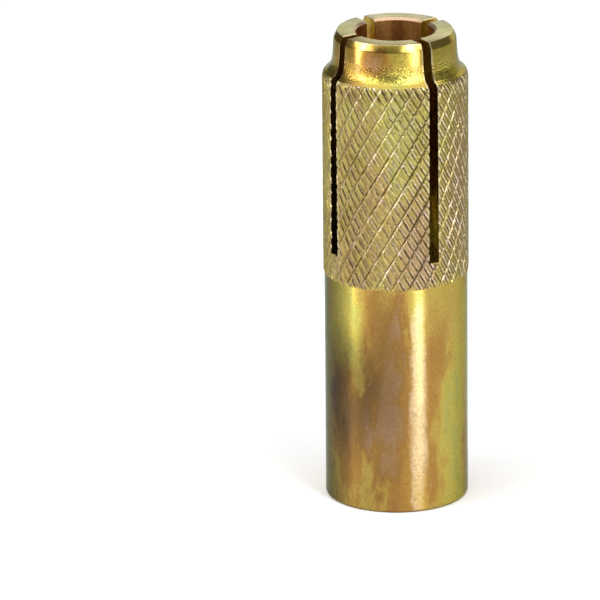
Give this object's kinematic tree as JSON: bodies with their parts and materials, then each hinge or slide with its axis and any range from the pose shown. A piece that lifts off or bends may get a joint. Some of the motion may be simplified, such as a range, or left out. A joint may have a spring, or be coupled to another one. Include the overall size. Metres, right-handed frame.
{
  "type": "drop in anchor",
  "caption": "Slotted, knurled steel drop-in expansion sleeve with an internal thread and an expander plug inside, stood on its threaded mouth.",
  "frame": {"origin": "centre of the mouth face, on the sleeve's axis", "axes": "+Z along the axis toward the slotted nose; two slots lie along X and two along Y"},
  "size_m": [0.015, 0.015, 0.05],
  "materials": {
    "yellow_chromate": "yellow chromate over zinc, glossy",
    "plain_zinc": "plain zinc, satin"
  },
  "bodies": {
    "root": {"anchor_sleeve": "yellow_chromate", "expander_plug": "plain_zinc"}
  },
  "joints": []
}
